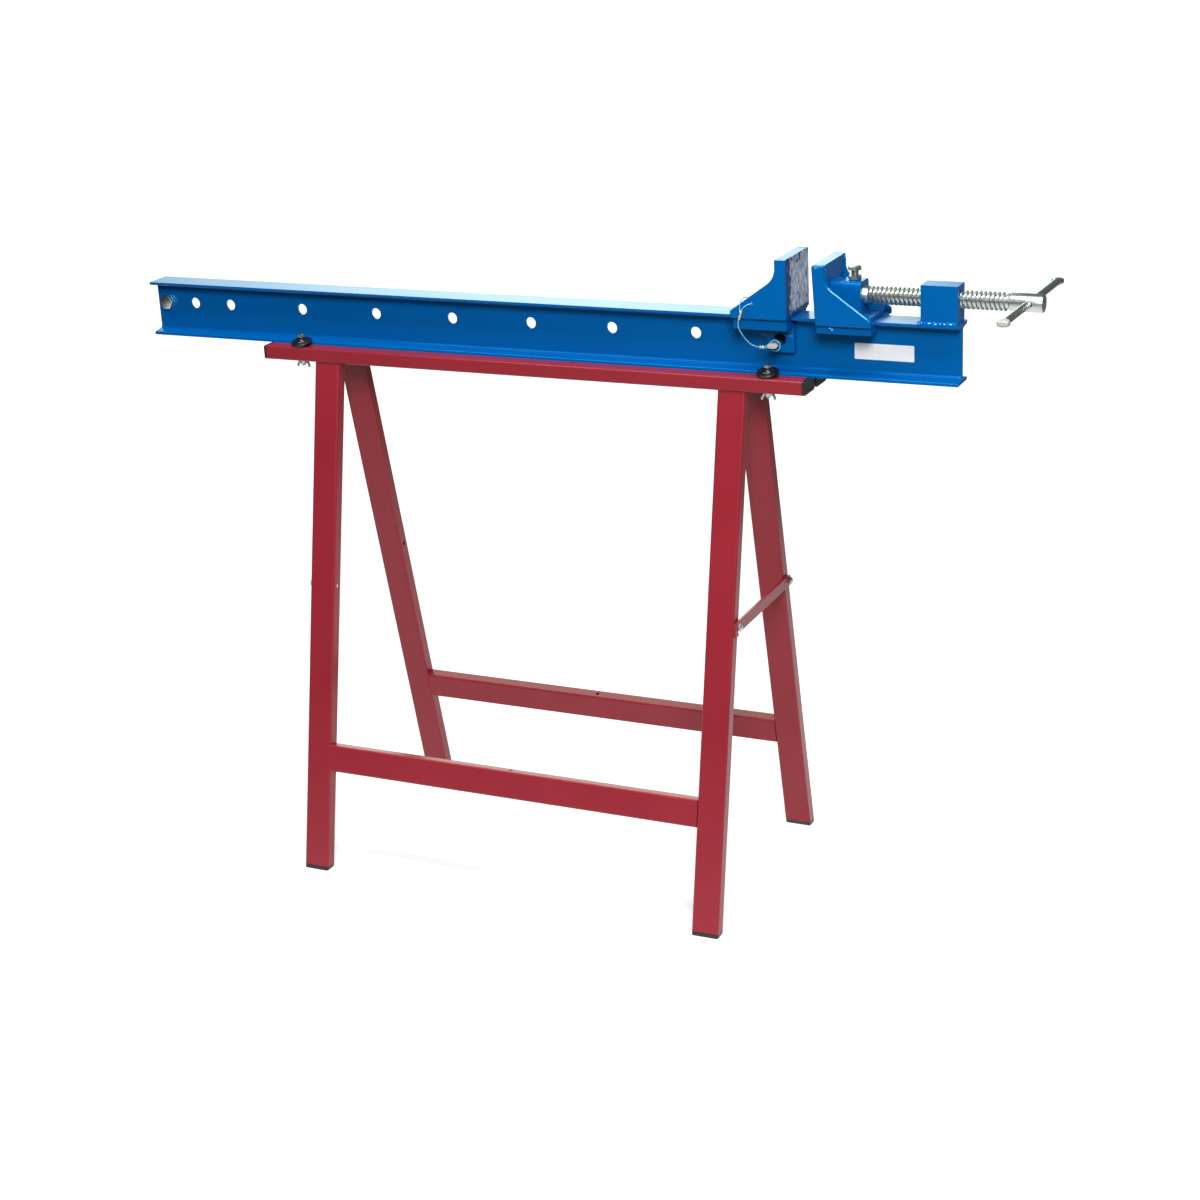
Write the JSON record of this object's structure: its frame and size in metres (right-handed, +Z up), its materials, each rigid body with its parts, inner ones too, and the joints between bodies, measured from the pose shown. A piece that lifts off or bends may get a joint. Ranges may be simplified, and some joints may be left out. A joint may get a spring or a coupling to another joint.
{
  "type": "bar clamp on folding stand",
  "caption": "Long bar clamp with a pinned sliding jaw, a screw-driven jaw and a tommy bar on an I-section beam, held by hold-down discs on a folding stand",
  "frame": {"origin": "on the floor under the middle of the overall length, between the front and rear feet", "axes": "+X along the beam from the tail end to the screw, +Y from the front legs to the rear legs, +Z up"},
  "size_m": [1.356, 0.401, 0.925],
  "materials": {
    "blue_paint": "glossy blue paint",
    "red_paint": "satin red paint",
    "zinc_plated_steel": "bright zinc plating",
    "black_plastic": "black moulded plastic",
    "bare_steel": "bare rubbed steel face",
    "tether_cord_coat": "clear blue coated wire cord"
  },
  "bodies": {
    "clamp_and_stand": {"beam": "blue_paint", "nut_block": "blue_paint", "end_stop_bolt": "zinc_plated_steel", "end_stop_nut": "zinc_plated_steel", "rail_front": "red_paint", "rail_rear": "red_paint", "rail_end_caps": "black_plastic", "rail_cross_plates": "red_paint", "front_leg_left": "red_paint", "front_leg_right": "red_paint", "front_crossbar": "red_paint", "front_feet": "black_plastic", "hinge_lugs": "red_paint", "stay_stud": "zinc_plated_steel", "spare_stay_bolt": "zinc_plated_steel", "hold_down_discs": "black_plastic", "hold_down_bolts": "zinc_plated_steel"},
    "tail_jaw": {"tail_jaw_plate": "bare_steel", "tail_jaw_cheek_near": "blue_paint", "tail_jaw_cheek_far": "blue_paint", "tail_jaw_base": "blue_paint", "tail_jaw_guide_near": "blue_paint", "tail_jaw_guide_far": "blue_paint", "lock_plate_near": "blue_paint", "lock_plate_far": "blue_paint", "tether_cord": "tether_cord_coat", "tether_jaw_loop": "tether_cord_coat", "tether_jaw_ferrule": "zinc_plated_steel"},
    "lock_pin": {"lock_pin": "zinc_plated_steel", "tether_pin_loop": "tether_cord_coat", "tether_pin_ferrule": "zinc_plated_steel"},
    "front_jaw": {"front_jaw_plate": "blue_paint", "front_jaw_cheek_near": "blue_paint", "front_jaw_cheek_far": "blue_paint", "front_jaw_base": "blue_paint", "front_jaw_guide_near": "blue_paint", "front_jaw_guide_far": "blue_paint", "screw_hub": "blue_paint", "hub_retaining_bolt": "zinc_plated_steel", "hub_lock_nut": "zinc_plated_steel"},
    "screw": {"screw_spindle": "zinc_plated_steel"},
    "tommy_bar": {"tommy_bar": "zinc_plated_steel"},
    "rear_frame": {"rear_leg_left": "red_paint", "rear_leg_right": "red_paint", "rear_crossbar": "red_paint", "rear_feet": "black_plastic", "hinge_bolts": "zinc_plated_steel", "hinge_nuts": "zinc_plated_steel", "stay_pivot_bolt": "zinc_plated_steel"},
    "stay": {"stay_bar": "red_paint"},
    "wing_nut_front_left": {"wing_nut_front_left": "zinc_plated_steel"},
    "wing_nut_front_right": {"wing_nut_front_right": "zinc_plated_steel"},
    "wing_nut_rear_left": {"wing_nut_rear_left": "zinc_plated_steel"},
    "wing_nut_rear_right": {"wing_nut_rear_right": "zinc_plated_steel"}
  },
  "joints": [
    {"name": "tail_jaw_slide", "type": "slide", "parent": "clamp_and_stand", "child": "tail_jaw", "axis": [1, 0, 0], "range_m": [-0.9375, 0]},
    {"name": "lock_pin_slide", "type": "slide", "parent": "tail_jaw", "child": "lock_pin", "axis": [0, 1, 0], "range_m": [0, 0.0105]},
    {"name": "front_jaw_slide", "type": "slide", "parent": "clamp_and_stand", "child": "front_jaw", "axis": [1, 0, 0], "range_m": [-0.034, 0.054]},
    {"name": "screw_turn", "type": "hinge", "parent": "front_jaw", "child": "screw", "pos_m": [0.5, 0, 0.8748], "axis": [1, 0, 0], "range_deg": [-2040, 3240]},
    {"name": "tommy_bar_slide", "type": "slide", "parent": "screw", "child": "tommy_bar", "axis": [0, 0.9998, -0.0209], "range_m": [-0.122, 0.104]},
    {"name": "rear_frame_fold", "type": "hinge", "parent": "clamp_and_stand", "child": "rear_frame", "pos_m": [-0.05, 0.03476, 0.73], "axis": [1, 0, 0], "range_deg": [-24, 0]},
    {"name": "stay_swing", "type": "hinge", "parent": "rear_frame", "child": "stay", "pos_m": [0.2873, 0.0991, 0.428], "axis": [1, 0, 0], "range_deg": [-78, 0]},
    {"name": "wing_nut_front_left_turn", "type": "hinge", "parent": "clamp_and_stand", "child": "wing_nut_front_left", "pos_m": [-0.4135, -0.0285, 0.738], "axis": [0, 0, 1], "continuous": true},
    {"name": "wing_nut_front_right_turn", "type": "hinge", "parent": "clamp_and_stand", "child": "wing_nut_front_right", "pos_m": [0.3135, -0.0285, 0.738], "axis": [0, 0, 1], "continuous": true},
    {"name": "wing_nut_rear_left_turn", "type": "hinge", "parent": "clamp_and_stand", "child": "wing_nut_rear_left", "pos_m": [-0.4135, 0.0285, 0.738], "axis": [0, 0, 1], "continuous": true},
    {"name": "wing_nut_rear_right_turn", "type": "hinge", "parent": "clamp_and_stand", "child": "wing_nut_rear_right", "pos_m": [0.3135, 0.0285, 0.738], "axis": [0, 0, 1], "continuous": true}
  ],
  "couplings": [
    {"joint": "front_jaw_slide", "follows": "screw_turn", "m_per_rad": 0.00095493},
    {"joint": "stay_swing", "follows": "rear_frame_fold", "ratio": 3.25}
  ]
}
